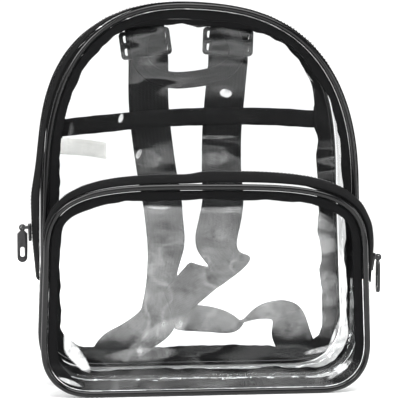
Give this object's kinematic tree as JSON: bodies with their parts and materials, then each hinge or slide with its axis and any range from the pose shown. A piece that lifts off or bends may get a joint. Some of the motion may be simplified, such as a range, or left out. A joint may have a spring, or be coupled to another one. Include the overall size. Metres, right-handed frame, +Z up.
{
  "type": "clear stadium backpack",
  "caption": "Small upright backpack of clear film with black piped edges, zipped front pocket, webbing shoulder straps, ladder buckles and a carry handle.",
  "frame": {"origin": "middle of the flat underside of the main compartment, on the surface the bag stands on", "axes": "+X to the right as the front pocket is looked at, -Y out of the front pocket, +Y towards the shoulder straps, +Z up"},
  "size_m": [0.2874, 0.1768, 0.3078],
  "materials": {
    "film": "clear soft vinyl film, glossy, lightly rippled",
    "piping": "black vinyl-covered piping bead with a soft shine",
    "binding": "black woven binding tape, seen through the film",
    "zip_tape": "black herringbone zip tape",
    "zip_coil": "black nylon zip coil",
    "zip_metal": "black painted die-cast slider and pull, worn bright at the mouth",
    "webbing": "black flat woven webbing",
    "buckle": "black moulded plastic",
    "label": "blank white satin care label"
  },
  "bodies": {
    "root": {"front_panel": "film", "back_panel": "film", "pocket_face": "film", "gusset_top": "film", "gusset_bottom": "film", "pocket_gusset": "film", "front_piping": "piping", "back_piping": "piping", "pocket_piping": "piping", "front_binding": "binding", "back_binding": "binding", "pocket_binding": "binding", "back_band": "binding", "main_tape_front": "zip_tape", "main_tape_rear": "zip_tape", "pocket_tape_front": "zip_tape", "pocket_tape_rear": "zip_tape", "main_coil": "zip_coil", "pocket_coil": "zip_coil", "main_slider": "zip_metal", "pocket_slider": "zip_metal", "left_strap": "webbing", "right_strap": "webbing", "left_strap_tab": "webbing", "right_strap_tab": "webbing", "carry_handle": "webbing", "left_buckle": "buckle", "right_buckle": "buckle", "label": "label"},
    "main_pull": {"main_pull": "zip_metal"},
    "pocket_pull": {"pocket_pull": "zip_metal"}
  },
  "joints": [
    {"name": "main_pull_swing", "type": "hinge", "parent": "root", "child": "main_pull", "pos_m": [-0.14366, -0.0181, 0.12473], "axis": [0, 1, 0], "range_deg": [0, 150]},
    {"name": "pocket_pull_swing", "type": "hinge", "parent": "root", "child": "pocket_pull", "pos_m": [0.13709, -0.0601, 0.10212], "axis": [0, -1, 0], "range_deg": [0, 150]}
  ]
}
